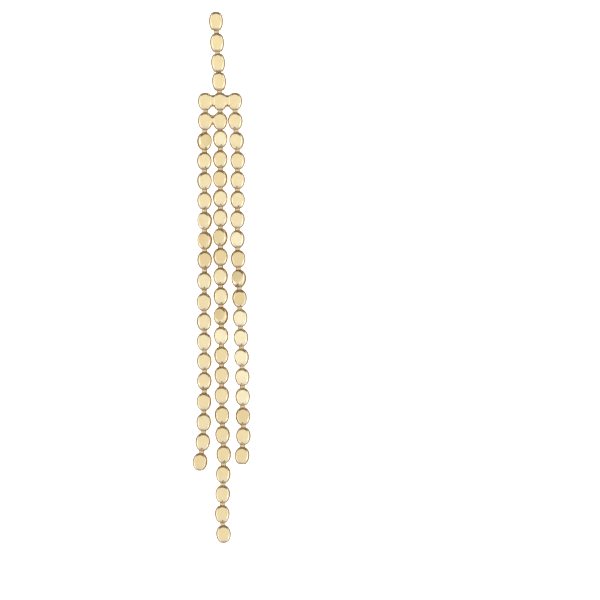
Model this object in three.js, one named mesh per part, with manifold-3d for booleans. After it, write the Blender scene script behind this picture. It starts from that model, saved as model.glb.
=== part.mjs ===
// A dangle earring of flat-faced bead chain, hanging as it does when it is worn.
//
// The top bead carries the ear post on its back, and a stem of three more beads hangs from it. The
// stem holds a bar of three beads soldered side by side, and a strand of bead chain hangs from each
// of those. The next beads of the left and centre strands are soldered together as well.
//
// A bead is a hollow egg with a flat front and back, cut off round a hole at each end. A pin with a
// round head at each end joins one bead to the next: its shaft passes through the two holes and its
// heads stay in the two hollows. In the three strands, the beads and pins are fused.
//
// Millimetres, +Z up, with the flat fronts towards -Y. The origin is the root of the ear post, in
// the middle of the top bead's back face.

import * as THREE from "three";
import { mergeVertices } from "three/addons/utils/BufferGeometryUtils.js";
import Module from "manifold-3d";

const wasm = await Module();
wasm.setup();

// Beads

const BEAD_WIDTH = 1.9;
const BEAD_DEPTH = 1.38; // between the flat front and back
const BEAD_RISE = 1.14; // how far the egg would reach above its middle if it weren't cut off
const BEAD_DROP = 1.3; // and below it
const STEM_BEAD_WIDTH = 1.82; // the stem's beads are a little longer and less flattened
const STEM_BEAD_DEPTH = 1.42;
const STEM_BEAD_RISE = 1.32;
const STEM_BEAD_DROP = 1.5;
const BEAD_WALL = 0.15;
const LIP_WALL = 0.07; // round a pin's hole, where the egg is cut off
const STEM_LIP_WALL = 0.14;
const TIP_SHARE = 0.5; // how far a closed top goes on from there towards the egg's tip

// Pins

const PIN_WIDTH = 0.76;
const PIN_CLEARANCE = 0.04; // all round the shaft in its hole
const HEAD_LAP = 0.05; // by how much a head is larger in radius than the hole that holds it
const SEAT_GAP = 0.04; // between a head and the rim that it bears on
const BEAD_PITCH = 2.5; // from one bead's middle to the next

// Stem, ear post and soldered joints

const STEM_DRAWN = [0.09, 0.02, -0.05, 0.01]; // shares by which its pins reach past the pitch
const STEM_LEAN = 2.9; // degrees, to the right on the way down
const POST_WIDTH = 0.8;
const POST_LENGTH = 10;
const POST_TIP = 0.25; // the rounding of its free end
const POST_FOOT = 0.3; // the height of the cone of solder at its root
const SOLDER_LAP = 0.02; // by how much soldered beads run into each other
const SOLDER_DEPTH = 1.2; // the web of solder between two beads
const BAR_SOLDER_HEIGHT = 1.5;
const PAIR_SOLDER_HEIGHT = 1.25;
const PAIR_SOLDER_RISE = 0.07; // of the web's middle above the beads' middles

// Strands. Their beads are counted from the bar's bead down, and the uppermost of them are soldered
// to their neighbours.

const LEFT = { side: -1, beadCount: 19, solderedCount: 2, dropColumn: "leftDrop" };
const CENTRE = { side: 0, beadCount: 23, solderedCount: 2, dropColumn: "centreDrop" };
const RIGHT = { side: 1, beadCount: 19, solderedCount: 1 };

// How the strands hang at a few beads, counted down with the bar's bead as 1. The centre strand
// sways to the right, and its neighbours keep these gaps to it, as shares of a bead's width. The
// left and centre beads hang lower than an even pitch would have them by these shares of the pitch.
const HANG = [
  { bead: 1, sway: 0, leftGap: 0.04, rightGap: 0.02, leftDrop: 0, centreDrop: 0 },
  { bead: 2, sway: 0, leftGap: 0.04, rightGap: 0.02, leftDrop: 0, centreDrop: 0 },
  { bead: 3, sway: 0.01, leftGap: 0.05, rightGap: 0.1, leftDrop: 0.03, centreDrop: -0.1 },
  { bead: 4, sway: 0.01, leftGap: 0.06, rightGap: 0.17, leftDrop: 0.03, centreDrop: -0.06 },
  { bead: 8, sway: 0.02, leftGap: 0.04, rightGap: 0.14, leftDrop: 0.07, centreDrop: -0.1 },
  { bead: 9, sway: 0.03, leftGap: 0.06, rightGap: 0.18, leftDrop: 0.06, centreDrop: -0.1 },
  { bead: 11, sway: 0.05, leftGap: 0.12, rightGap: 0.25, leftDrop: 0.19, centreDrop: -0.1 },
  { bead: 15, sway: 0.11, leftGap: 0.16, rightGap: 0.38, leftDrop: 0.21, centreDrop: -0.09 },
  { bead: 17, sway: 0.13, leftGap: 0.22, rightGap: 0.4, leftDrop: 0.3, centreDrop: -0.06 },
  { bead: 18, sway: 0.17, leftGap: 0.32, rightGap: 0.39, leftDrop: 0.3, centreDrop: -0.06 },
  { bead: 19, sway: 0.25, leftGap: 0.58, rightGap: 0.23, leftDrop: 0.31, centreDrop: -0.07 },
  { bead: 22, sway: 0.15, leftGap: 0.58, rightGap: 0.23, leftDrop: 0.31, centreDrop: -0.04 },
  { bead: 23, sway: 0.23, leftGap: 0.58, rightGap: 0.23, leftDrop: 0.31, centreDrop: -0.02 },
];

// Every bead is turned a little on its chain, and these stand out. A turn is to the right and a nod
// is upwards, in degrees.
const TURN_SWING = 5;
const TURN_STEP = 2.3; // radians from one bead to the next
const MEAN_NOD = 4;
const STANDOUTS = [
  { side: -1, bead: 3, turn: 17, nod: 4 },
  { side: -1, bead: 5, turn: 12, nod: 0 },
  { side: -1, bead: 7, turn: -15, nod: 0 },
  { side: -1, bead: 8, turn: -15, nod: 3 },
  { side: -1, bead: 15, turn: -4, nod: 12 },
  { side: 0, bead: 5, turn: -10, nod: 0 },
  { side: 0, bead: 8, turn: -15, nod: 3 },
  { side: 0, bead: 10, turn: -6, nod: 9 },
  { side: 0, bead: 12, turn: -17, nod: 10 },
  { side: 0, bead: 20, turn: -6, nod: 5 },
  { side: 1, bead: 3, turn: -11, nod: 0 },
  { side: 1, bead: 8, turn: -11, nod: 8 },
  { side: 1, bead: 10, turn: -16, nod: 14 },
  { side: 1, bead: 11, turn: 2, nod: -8 },
  { side: 1, bead: 14, turn: -10, nod: 2 },
  { side: 1, bead: 19, turn: -7, nod: 6 },
];

// How finely round things are cut

const SIDES = 10; // round a bead or the post
const PIN_SIDES = 6;
const EGG_STEPS = 6;
const HOLLOW_STEPS = 4;
const HEAD_STEPS = 3;

// Sizes that follow

const PIN_RADIUS = PIN_WIDTH / 2;
const HOLE_RADIUS = PIN_RADIUS + PIN_CLEARANCE;
const HEAD_RADIUS = HOLE_RADIUS + HEAD_LAP;
const BAR_SPACING = BEAD_WIDTH - SOLDER_LAP;

const STRAND_BEAD = {
  radius: BEAD_WIDTH / 2,
  depth: BEAD_DEPTH,
  rise: BEAD_RISE,
  drop: BEAD_DROP,
  lip: HOLE_RADIUS + LIP_WALL,
};
const STEM_BEAD = {
  radius: STEM_BEAD_WIDTH / 2,
  depth: STEM_BEAD_DEPTH,
  rise: STEM_BEAD_RISE,
  drop: STEM_BEAD_DROP,
  lip: HOLE_RADIUS + STEM_LIP_WALL,
};

// The room in a bead, an egg that is smaller than the bead by its wall and ends at the pin's hole.
function roomOf(bead) {
  const [radius, rise, drop] = [bead.radius, bead.rise, bead.drop].map((size) => size - BEAD_WALL);
  return { radius, depth: bead.depth - 2 * BEAD_WALL, rise, drop, lip: HOLE_RADIUS };
}

// How far above and below its middle an egg is cut off.
const topOf = (egg) => egg.rise * Math.sqrt(1 - (egg.lip / egg.radius) ** 2);
const bottomOf = (egg) => egg.drop * Math.sqrt(1 - (egg.lip / egg.radius) ** 2);

// The distance from a pin's head to the rim that it bears on, and so from the beads' middles to the
// head below and the head above.
const HEAD_REACH = Math.sqrt(HEAD_RADIUS ** 2 - HOLE_RADIUS ** 2) + SEAT_GAP;
const seatAbove = (bead) => topOf(roomOf(bead)) - HEAD_REACH;
const seatBelow = (bead) => bottomOf(roomOf(bead)) - HEAD_REACH;

const { degToRad, lerp } = THREE.MathUtils;

// Solids

// A closed geometry as a solid, moved by a matrix.
function solidOf(geometry, matrix = new THREE.Matrix4()) {
  const loose = geometry.index ? geometry.toNonIndexed() : geometry;
  const bare = new THREE.BufferGeometry();
  bare.setAttribute("position", loose.getAttribute("position").clone());
  const merged = mergeVertices(bare.applyMatrix4(matrix), 1e-5);
  return new wasm.Manifold(
    new wasm.Mesh({
      numProp: 3,
      vertProperties: merged.getAttribute("position").array,
      triVerts: new Uint32Array(merged.index.array),
    }),
  );
}

// A solid as a geometry.
function geometryOf(solid) {
  const { numProp, numVert, vertProperties, triVerts } = solid.getMesh();
  const positions = new Float32Array(numVert * 3);
  for (let i = 0; i < numVert; i++) {
    positions.set(vertProperties.subarray(i * numProp, i * numProp + 3), i * 3);
  }
  const geometry = new THREE.BufferGeometry();
  geometry.setAttribute("position", new THREE.BufferAttribute(positions, 3));
  geometry.setIndex(new THREE.BufferAttribute(triVerts, 1));
  const faceted = geometry.toNonIndexed();
  faceted.computeVertexNormals();
  return faceted;
}

// The form that a half section, as [radius, height] pairs from the bottom up, makes round Z.
function turned(section, sides = SIDES) {
  const points = section.map(([radius, height]) => new THREE.Vector2(radius, height));
  return new THREE.LatheGeometry(points, sides, Math.PI / 2).rotateX(Math.PI / 2);
}

// Gives a turned form a flat front and back, this far apart. The points of a ring that is deeper
// close up towards its left and right, until the last of them lie in the flat faces.
function flatten(geometry, depth) {
  const lastAngle = Math.PI / 2 - Math.PI / SIDES;
  const points = geometry.getAttribute("position");
  for (let i = 0; i < points.count; i++) {
    const [x, y] = [points.getX(i), points.getY(i)];
    const radius = Math.hypot(x, y);
    if (radius * Math.sin(lastAngle) <= depth / 2) continue;
    const share = Math.atan2(y, Math.abs(x)) / lastAngle;
    const angle = share * Math.asin(depth / 2 / radius);
    points.setXY(i, Math.sign(x) * radius * Math.cos(angle), radius * Math.sin(angle));
  }
  return geometry;
}

// Beads

// Half the section of an egg, as [radius, height] pairs from where it is cut off below to where it
// is cut off above.
function eggSection(egg, steps) {
  const end = Math.acos(egg.lip / egg.radius);
  return Array.from({ length: steps + 1 }, (_, i) => {
    const angle = lerp(-end, end, i / steps);
    return [egg.radius * Math.cos(angle), (angle < 0 ? egg.drop : egg.rise) * Math.sin(angle)];
  });
}

// A bead's outer form, filled.
function beadForm(bead, openAbove, matrix) {
  const tip = openAbove ? topOf(bead) : lerp(topOf(bead), bead.rise, TIP_SHARE);
  const section = [[0, -bottomOf(bead)], ...eggSection(bead, EGG_STEPS), [0, tip]];
  return solidOf(flatten(turned(section), bead.depth), matrix);
}

// A bead's room with the hole at its lower end, and the one at its upper end if that is open.
function beadHollow(bead, openAbove, matrix) {
  const room = roomOf(bead);
  const [low, high] = [-bead.drop, bead.rise]; // where the holes' cutters run out of the bead
  const section = [[0, low], [HOLE_RADIUS, low], ...eggSection(room, HOLLOW_STEPS)];
  if (openAbove) section.push([HOLE_RADIUS, high], [0, high]);
  else section.push([0, topOf(room)]);
  return solidOf(flatten(turned(section), room.depth), matrix);
}

// The open hole below in a strand's last bead.
function endHole(bead, matrix) {
  const top = -bottomOf(roomOf(bead));
  const section = [
    [0, -bead.drop],
    [HOLE_RADIUS, -bead.drop],
    [HOLE_RADIUS, top],
    [0, top],
  ];
  return solidOf(turned(section), matrix);
}

// The web of solder between two beads that stand side by side, with its middle here.
function solderWeb(middle, height, rise) {
  const web = new THREE.CylinderGeometry(0.5, 0.5, BEAD_WIDTH / 2, SIDES);
  web.rotateZ(Math.PI / 2).scale(1, height, SOLDER_DEPTH).rotateX(Math.PI / 2);
  return solidOf(web.translate(middle, 0, rise));
}

// Hollow beads soldered side by side, at the given distances to the right.
function solderedRow(places, openAbove, height, rise = 0) {
  const matrices = places.map((x) => new THREE.Matrix4().makeTranslation(x, 0, 0));
  const forms = matrices.map((matrix, i) => beadForm(STRAND_BEAD, openAbove[i], matrix));
  const webs = places.slice(1).map((x, i) => solderWeb((x + places[i]) / 2, height, rise));
  const hollows = matrices.map((matrix, i) => beadHollow(STRAND_BEAD, openAbove[i], matrix));
  return wasm.Manifold.union([...forms, ...webs]).subtract(wasm.Manifold.union(hollows));
}

// Pins

// Half the section of a head that is round its own middle, from the bottom up.
function headSection(middle, fromAngle, toAngle) {
  return Array.from({ length: HEAD_STEPS + 1 }, (_, i) => {
    const angle = lerp(fromAngle, toAngle, i / HEAD_STEPS);
    return [HEAD_RADIUS * Math.cos(angle), middle + HEAD_RADIUS * Math.sin(angle)];
  });
}

// A pin that stands on its lower bead's middle and reaches up to the other's, this far away. It has
// a head in each hollow bead, and runs straight into the middle of a filled one.
function pinForm(length, upperBead, lowerBead, matrix) {
  const neck = Math.acos(PIN_RADIUS / HEAD_RADIUS);
  const lower = lowerBead
    ? headSection(seatAbove(lowerBead), -Math.PI / 2, neck)
    : [
        [0, 0],
        [PIN_RADIUS, 0],
      ];
  const upper = upperBead
    ? headSection(length - seatBelow(upperBead), -neck, Math.PI / 2)
    : [
        [PIN_RADIUS, length],
        [0, length],
      ];
  return solidOf(turned([...lower, ...upper], PIN_SIDES), matrix);
}

// Ear post

// The post and the solder at its root, standing on the back of its bead.
function postForm(matrix) {
  const radius = POST_WIDTH / 2;
  const section = [
    [0, -BEAD_WALL / 2],
    [radius + POST_FOOT / 2, -BEAD_WALL / 2],
    [radius + POST_FOOT / 2, 0],
    [radius, POST_FOOT],
    [radius, POST_LENGTH - POST_TIP],
    [radius - POST_TIP, POST_LENGTH],
    [0, POST_LENGTH],
  ];
  return solidOf(turned(section), matrix);
}

// The top bead, hollow like the others, with the post soldered to its back.
function postBead() {
  const backwards = new THREE.Matrix4().makeRotationX(-Math.PI / 2);
  const onBack = new THREE.Matrix4().makeTranslation(0, STEM_BEAD_DEPTH / 2, 0);
  const post = postForm(onBack.multiply(backwards));
  return beadForm(STEM_BEAD, false).subtract(beadHollow(STEM_BEAD, false)).add(post);
}

// Strands

// A column of the hanging table at one bead, read between its rows.
function hangAt(bead, column) {
  const next = HANG.findIndex((row) => row.bead >= bead);
  if (next <= 0) return HANG.at(next)[column];
  const [a, b] = [HANG[next - 1], HANG[next]];
  return lerp(a[column], b[column], (bead - a.bead) / (b.bead - a.bead));
}

// How far to the right of the bar's middle a strand's bead hangs.
function offsetAt(strand, bead) {
  const sway = BEAD_WIDTH * hangAt(bead, "sway");
  const soldered = bead <= strand.solderedCount;
  if (soldered || !strand.side) return sway + strand.side * BAR_SPACING;
  const gap = hangAt(bead, strand.side < 0 ? "leftGap" : "rightGap");
  return sway + strand.side * BEAD_WIDTH * (1 + gap);
}

// The middles of a strand's beads, from the bar's bead down, in the bar's frame.
function strandPlaces(strand) {
  return Array.from({ length: strand.beadCount }, (_, i) => {
    const drop = strand.dropColumn ? hangAt(i + 1, strand.dropColumn) : 0;
    return new THREE.Vector3(offsetAt(strand, i + 1), 0, -BEAD_PITCH * (i + drop));
  });
}

// The turn about Y that stands something along the line from a lower place up to a higher one.
const leanOf = (high, low) => Math.atan2(high.x - low.x, high.z - low.z);

// The matrix that stands something on the lower of two places, along the line between them.
function standing(high, low) {
  const lean = new THREE.Matrix4().makeRotationY(leanOf(high, low));
  return lean.setPosition(low);
}

// The matrix of one bead of a strand: in line with its neighbours, and turned and nodding.
function beadMatrix(strand, places, bead) {
  const found = STANDOUTS.find((row) => row.side === strand.side && row.bead === bead);
  const swing = TURN_SWING * Math.sin(TURN_STEP * bead + strand.side);
  const { turn, nod } = found ?? { turn: swing, nod: MEAN_NOD + swing / 2 };
  const middle = places[bead - 1];
  const lean = leanOf(places[bead - 2], places[bead] ?? middle);
  const angles = new THREE.Euler(-degToRad(nod), lean, degToRad(turn), "YZX");
  return new THREE.Matrix4().makeRotationFromEuler(angles).setPosition(middle);
}

// A strand below its soldered beads, with the pin that holds it in the last of those.
function strandForm(strand) {
  const places = strandPlaces(strand);
  const parts = [];
  const firstBead = strand.solderedCount + 1;
  for (let bead = firstBead; bead <= strand.beadCount; bead++) {
    const [high, low] = [places[bead - 2], places[bead - 1]];
    const upperBead = bead === firstBead ? STRAND_BEAD : null;
    parts.push(pinForm(high.distanceTo(low), upperBead, null, standing(high, low)));
    parts.push(beadForm(STRAND_BEAD, true, beadMatrix(strand, places, bead)));
  }
  const lastMatrix = beadMatrix(strand, places, strand.beadCount);
  return wasm.Manifold.union(parts).subtract(endHole(STRAND_BEAD, lastMatrix));
}

// Assembly

const beadGold = new THREE.MeshStandardMaterial({ color: 0xf0dca6, roughness: 0.18, metalness: 1 });
const pinGold = new THREE.MeshStandardMaterial({ color: 0xe8cb98, roughness: 0.28, metalness: 1 });
const postGold = new THREE.MeshStandardMaterial({ color: 0xead3a0, roughness: 0.25, metalness: 1 });

function addPiece(group, name, solid, material) {
  const piece = new THREE.Mesh(geometryOf(solid), material);
  piece.name = name;
  group.add(piece);
  return piece;
}

// A pin between two hollow beads whose middles are at these places of the group.
function addPin(group, name, high, low, upperBead, lowerBead) {
  const pin = addPiece(group, name, pinForm(high.distanceTo(low), upperBead, lowerBead), pinGold);
  pin.position.copy(low);
  pin.rotation.y = leanOf(high, low);
}

// The stem leans, so its group does, and its beads hang straight down in it.
const stem = new THREE.Group();
stem.position.y = -STEM_BEAD_DEPTH / 2;
addPiece(stem, "ear_post_with_top_bead", postBead(), beadGold);

const chain = new THREE.Group();
chain.rotation.y = -degToRad(STEM_LEAN);
stem.add(chain);
const stemPlaces = [new THREE.Vector3()];
for (const drawn of STEM_DRAWN) {
  const drop = BEAD_PITCH * (1 + drawn);
  stemPlaces.push(new THREE.Vector3(0, 0, stemPlaces.at(-1).z - drop));
}
const stemBead = beadForm(STEM_BEAD, true).subtract(beadHollow(STEM_BEAD, true));
STEM_DRAWN.forEach((_, i) => {
  const [high, low] = [stemPlaces[i], stemPlaces[i + 1]];
  const isLast = i === STEM_DRAWN.length - 1;
  const lowBead = isLast ? STRAND_BEAD : STEM_BEAD;
  addPin(chain, `stem_pin_${i + 1}`, high, low, STEM_BEAD, lowBead);
  if (isLast) return;
  addPiece(chain, `stem_bead_${i + 2}`, stemBead, beadGold).position.copy(low);
});

// The bar hangs level from the last pin of the stem.
const bar = new THREE.Group();
bar.position.copy(stemPlaces.at(-1)).applyEuler(chain.rotation);
stem.add(bar);
const barPlaces = [-BAR_SPACING, 0, BAR_SPACING];
const barBeads = solderedRow(barPlaces, [false, true, false], BAR_SOLDER_HEIGHT);
addPiece(bar, "bar_of_soldered_beads", barBeads, beadGold);

// The second beads of the left and centre strands, and the pins that hold them.
const [leftPlaces, centrePlaces] = [strandPlaces(LEFT), strandPlaces(CENTRE)];
const pairPlaces = [-BAR_SPACING, 0];
const pairBeads = solderedRow(pairPlaces, [true, true], PAIR_SOLDER_HEIGHT, PAIR_SOLDER_RISE);
const pair = addPiece(bar, "soldered_bead_pair", pairBeads, beadGold);
pair.position.copy(centrePlaces[1]);
addPin(bar, "bar_pin_left", leftPlaces[0], leftPlaces[1], STRAND_BEAD, STRAND_BEAD);
addPin(bar, "bar_pin_centre", centrePlaces[0], centrePlaces[1], STRAND_BEAD, STRAND_BEAD);

addPiece(bar, "strand_left", strandForm(LEFT), beadGold);
addPiece(bar, "strand_centre", strandForm(CENTRE), beadGold);
addPiece(bar, "strand_right", strandForm(RIGHT), beadGold);

const earring = new THREE.Group();
earring.add(stem);

export default earring;
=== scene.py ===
"""Dresses a dangle earring of flat-faced bead chain, and sets its stage.

Every bead is a hollow egg pressed flat in front and behind, with a rolled lip round each hole, and a
pin with two round heads joins it to the next one. The top bead has the ear post on its back. Shapes
are modelled in millimetres and put into the frame in metres.
"""

import math
import random
from collections import namedtuple

import bmesh
import bpy
from mathutils import Matrix, Vector


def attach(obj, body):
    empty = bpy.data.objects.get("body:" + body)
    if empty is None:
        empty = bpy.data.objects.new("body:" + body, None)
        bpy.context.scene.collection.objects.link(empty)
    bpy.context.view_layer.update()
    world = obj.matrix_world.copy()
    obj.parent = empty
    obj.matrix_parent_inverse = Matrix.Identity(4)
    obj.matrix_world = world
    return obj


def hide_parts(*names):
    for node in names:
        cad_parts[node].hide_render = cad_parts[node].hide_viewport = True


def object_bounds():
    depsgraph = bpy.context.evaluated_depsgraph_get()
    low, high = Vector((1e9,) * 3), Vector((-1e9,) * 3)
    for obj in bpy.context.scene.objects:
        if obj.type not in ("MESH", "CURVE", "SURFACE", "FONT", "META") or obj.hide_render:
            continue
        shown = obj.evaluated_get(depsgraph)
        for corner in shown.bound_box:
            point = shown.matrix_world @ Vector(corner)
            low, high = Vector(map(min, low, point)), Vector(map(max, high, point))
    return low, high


bl_info = {
    "name": "Bead chain earring",
    "version": (1, 0, 0),
    "blender": (4, 5, 0),
    "location": "3D Viewport > Sidebar > Earring",
    "description": "Builds a dangle earring of flat-faced bead chain with its stage",
    "category": "Add Mesh",
}

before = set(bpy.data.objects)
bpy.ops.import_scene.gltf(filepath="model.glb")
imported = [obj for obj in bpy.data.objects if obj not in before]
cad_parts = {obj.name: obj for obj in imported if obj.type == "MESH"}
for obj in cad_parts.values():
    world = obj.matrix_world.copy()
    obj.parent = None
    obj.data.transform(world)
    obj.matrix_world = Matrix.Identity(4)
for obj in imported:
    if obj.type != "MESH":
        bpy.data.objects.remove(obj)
CAD_BOX = [list(corner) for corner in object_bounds()]
MM = 0.001

# How the chain hangs, the same as in the part's source. A strand's beads are counted from the bar's
# bead down, and the uppermost of them are soldered to their neighbours.

Strand = namedtuple("Strand", "node side bead_count soldered_count drop_column")
LEFT = Strand("strand_left", -1, 19, 2, "left_drop")
CENTRE = Strand("strand_centre", 0, 23, 2, "centre_drop")
RIGHT = Strand("strand_right", 1, 19, 1, None)

# The sway and the gaps are shares of a bead's width, and the drops are shares of the pitch.
Hang = namedtuple("Hang", "bead sway left_gap right_gap left_drop centre_drop")
HANG = (
    Hang(1, 0, 0.04, 0.02, 0, 0),
    Hang(2, 0, 0.04, 0.02, 0, 0),
    Hang(3, 0.01, 0.05, 0.1, 0.03, -0.1),
    Hang(4, 0.01, 0.06, 0.17, 0.03, -0.06),
    Hang(8, 0.02, 0.04, 0.14, 0.07, -0.1),
    Hang(9, 0.03, 0.06, 0.18, 0.06, -0.1),
    Hang(11, 0.05, 0.12, 0.25, 0.19, -0.1),
    Hang(15, 0.11, 0.16, 0.38, 0.21, -0.09),
    Hang(17, 0.13, 0.22, 0.4, 0.3, -0.06),
    Hang(18, 0.17, 0.32, 0.39, 0.3, -0.06),
    Hang(19, 0.25, 0.58, 0.23, 0.31, -0.07),
    Hang(22, 0.15, 0.58, 0.23, 0.31, -0.04),
    Hang(23, 0.23, 0.58, 0.23, 0.31, -0.02),
)

# Beads turn to the right and nod upwards, in degrees. Most of them swing a little about the mean, in
# a wave with this many radians from one bead to the next, and some stand out.
TURN_SWING = 5
TURN_STEP = 2.3
MEAN_NOD = 4
STANDOUTS = {
    (-1, 3): (17, 4),
    (-1, 5): (12, 0),
    (-1, 7): (-15, 0),
    (-1, 8): (-15, 3),
    (-1, 15): (-4, 12),
    (0, 5): (-10, 0),
    (0, 8): (-15, 3),
    (0, 10): (-6, 9),
    (0, 12): (-17, 10),
    (0, 20): (-6, 5),
    (1, 3): (-11, 0),
    (1, 8): (-11, 8),
    (1, 10): (-16, 14),
    (1, 11): (2, -8),
    (1, 14): (-10, 2),
    (1, 19): (-7, 6),
}

# Beads whose gold looks deeper or paler than the rest, by side and number.
DEEP_BEADS = {-1: (3, 8, 9), 0: (5, 8, 9, 12), 1: (9, 10, 11, 17)}
PALE_BEADS = {-1: (), 0: (3, 13), 1: (8, 12, 13, 14, 15, 16)}


# Settings


def length_setting(name, description, millimetres):
    return bpy.props.FloatProperty(
        name=name,
        description=description,
        default=millimetres * MM,
        precision=5,
        subtype="DISTANCE",
        unit="LENGTH",
    )


def colour_setting(name, description, colour):
    return bpy.props.FloatVectorProperty(
        name=name, description=description, default=colour, size=3, min=0, max=1, subtype="COLOR"
    )


class BeadSettings(bpy.types.PropertyGroup):
    """Sizes of the beads"""

    width: length_setting("Width", "Across a strand's bead", 1.9)
    depth: length_setting("Depth", "Between its flat front and back", 1.38)
    rise: length_setting("Rise", "How far the egg would reach above its middle, uncut", 1.14)
    drop: length_setting("Drop", "How far it would reach below", 1.3)
    face_width: length_setting("Face width", "Across the flat face", 1.36)
    bulge: length_setting("Bulge", "The rounding of its sides, across", 0.5)
    face_top: length_setting("Face top", "From its middle up to the top of its flat face", 0.78)
    face_bottom: length_setting("Face bottom", "From its middle down to the foot of the face", 0.72)
    lip_wall: length_setting("Lip wall", "Round a pin's hole", 0.07)
    stem_width: length_setting("Stem width", "Across a stem's bead", 1.82)
    stem_depth: length_setting("Stem depth", "Between its flat front and back", 1.42)
    stem_rise: length_setting("Stem rise", "How far the egg would reach above its middle", 1.32)
    stem_drop: length_setting("Stem drop", "How far it would reach below", 1.5)
    stem_face_width: length_setting("Stem face width", "Across the flat face", 1.16)
    stem_bulge: length_setting("Stem bulge", "The rounding of its sides, across", 0.56)
    stem_face_top: length_setting("Stem face top", "From its middle up to its face's top", 0.86)
    stem_face_bottom: length_setting("Stem face bottom", "Down to the foot of the face", 0.8)
    stem_lip_wall: length_setting("Stem lip wall", "Round a pin's hole", 0.14)
    wall: length_setting("Wall", "Thickness of a hollow bead's wall", 0.15)
    edge: length_setting("Face edge", "Rounding of a flat face's edge", 0.07)
    crown: length_setting("Crown", "How far a flat face bulges", 0.012)


class ChainSettings(bpy.types.PropertyGroup):
    """Sizes of the pins, the stem, the ear post and the soldered joints"""

    pitch: length_setting("Pitch", "From one bead's middle to the next", 2.5)
    pin_width: length_setting("Pin width", "Across a pin's shaft", 0.76)
    pin_waist: length_setting("Pin waist", "By how much the shaft is slimmer at its middle", 0.1)
    clearance: length_setting("Clearance", "Round a shaft in its hole", 0.04)
    head_lap: length_setting("Head lap", "A head's radius past its hole's", 0.05)
    seat_gap: length_setting("Seat gap", "Between a head and the rim that it bears on", 0.04)
    stem_drawn: bpy.props.FloatVectorProperty(
        name="Stem drawn",
        description="Shares by which the stem's pins reach past the pitch",
        default=(0.09, 0.02, -0.05, 0.01),
        size=4,
    )
    stem_lean: bpy.props.FloatProperty(
        name="Stem lean",
        description="To the right on the way down",
        default=math.radians(2.9),
        subtype="ANGLE",
        unit="ROTATION",
    )
    post_width: length_setting("Post width", "Across the ear post", 0.8)
    post_length: length_setting("Post length", "From the top bead's back", 10)
    solder_lap: length_setting("Solder lap", "Overlap of soldered beads", 0.02)
    solder_depth: length_setting("Solder depth", "Of the web between two beads", 1.24)
    bar_solder: length_setting("Bar solder", "Height of the bar's webs", 1.5)
    pair_solder: length_setting("Pair solder", "Height of the pair's web", 1.25)
    pair_solder_rise: length_setting("Pair solder rise", "Above the beads' middles", 0.07)


class FinishSettings(bpy.types.PropertyGroup):
    """Colours of the gold"""

    pale: colour_setting("Pale gold", "The palest beads", (0.98, 0.88, 0.6))
    deep: colour_setting("Deep gold", "The deepest beads", (0.78, 0.6, 0.29))
    amber: colour_setting("Amber gold", "The stem and the upper rows", (0.95, 0.77, 0.4))
    # Paler gold round the faces: wear, and a painted highlight on the ring
    rubbed_and_highlit: colour_setting("Rubbed and highlit gold", "Round the faces, where it is worn pale", (1.0, 0.93, 0.78))
    pin: colour_setting("Pin gold", "The pins, which are warmer", (0.78, 0.56, 0.385))
    # Tarnished grime, and painted shade, in the creases at the pins and under the faces
    tarnish_and_shade: colour_setting("Tarnish and shade", "In the creases", (0.2, 0.11, 0.05))


class StageSettings(bpy.types.PropertyGroup):
    """The camera and the light"""

    lens: bpy.props.FloatProperty(
        name="Lens",
        description="Focal length in millimetres",
        default=250,
        subtype="DISTANCE_CAMERA",
        unit="CAMERA",
    )
    pixel: length_setting("Pixel", "A pixel of the photograph at the beads' middles", 0.127)
    surroundings: bpy.props.FloatProperty(
        name="Surroundings",
        description="Strength of what the gold mirrors",
        default=1.0,
        min=0,
        subtype="FACTOR",
    )


# Sizes that follow, in millimetres

Settings = namedtuple("Settings", "beads chain finish stage")

# The face is half the flat face's width, and the lip is the lip's outer radius.
Egg = namedtuple("Egg", "radius depth rise drop lip face bulge face_top face_bottom")


def settings():
    scene = bpy.context.scene
    return Settings(scene.earring_beads, scene.earring_chain, scene.earring_finish, scene.earring_stage)


def mm(length):
    """A length of the settings, which are in metres, in millimetres."""
    return length / MM


def hole_radius():
    chain = settings().chain
    return mm(chain.pin_width / 2 + chain.clearance)


def head_radius():
    return hole_radius() + mm(settings().chain.head_lap)


# The settings that an egg is made from.
EGG_SIZES = ("width", "depth", "rise", "drop", "lip_wall", "face_width", "bulge", "face_top", "face_bottom")


def egg_of(prefix):
    """The form of a bead, from the settings whose names start with this."""
    sizes = [mm(getattr(settings().beads, prefix + name)) for name in EGG_SIZES]
    width, depth, rise, drop, lip_wall, face_width, *face = sizes
    return Egg(width / 2, depth, rise, drop, hole_radius() + lip_wall, face_width / 2, *face)


def strand_egg():
    """The form of a bead of the bar and the strands."""
    return egg_of("")


def stem_egg():
    return egg_of("stem_")


def room_of(egg):
    """The room in a bead, which ends at the pin's holes."""
    wall = mm(settings().beads.wall)
    return egg._replace(
        radius=egg.radius - wall,
        depth=egg.depth - 2 * wall,
        rise=egg.rise - wall,
        drop=egg.drop - wall,
        lip=hole_radius(),
    )


def top_of(egg):
    """How far above its middle an egg is cut off."""
    return egg.rise * math.sqrt(1 - (egg.lip / egg.radius) ** 2)


def bottom_of(egg):
    """How far below its middle an egg is cut off."""
    return egg.drop * math.sqrt(1 - (egg.lip / egg.radius) ** 2)


def head_reach():
    """From the middle of a pin's head to the rim that it bears on."""
    return math.sqrt(head_radius() ** 2 - hole_radius() ** 2) + mm(settings().chain.seat_gap)


def bar_spacing():
    return 2 * strand_egg().radius - mm(settings().chain.solder_lap)


# Shapes, in millimetres

BEAD_STEPS = 64  # round a bead
PIN_STEPS = 28  # round a pin
CORNER_STEPS = 3
MERGE_DISTANCE = 1e-5


def lerp(a, b, share):
    return a + (b - a) * share


def shares(steps, first=0):
    """Even shares up to 1, from first of the steps on."""
    return [i / steps for i in range(first, steps + 1)]


def clamped(value):
    return min(1.0, max(0.0, value))


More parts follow.
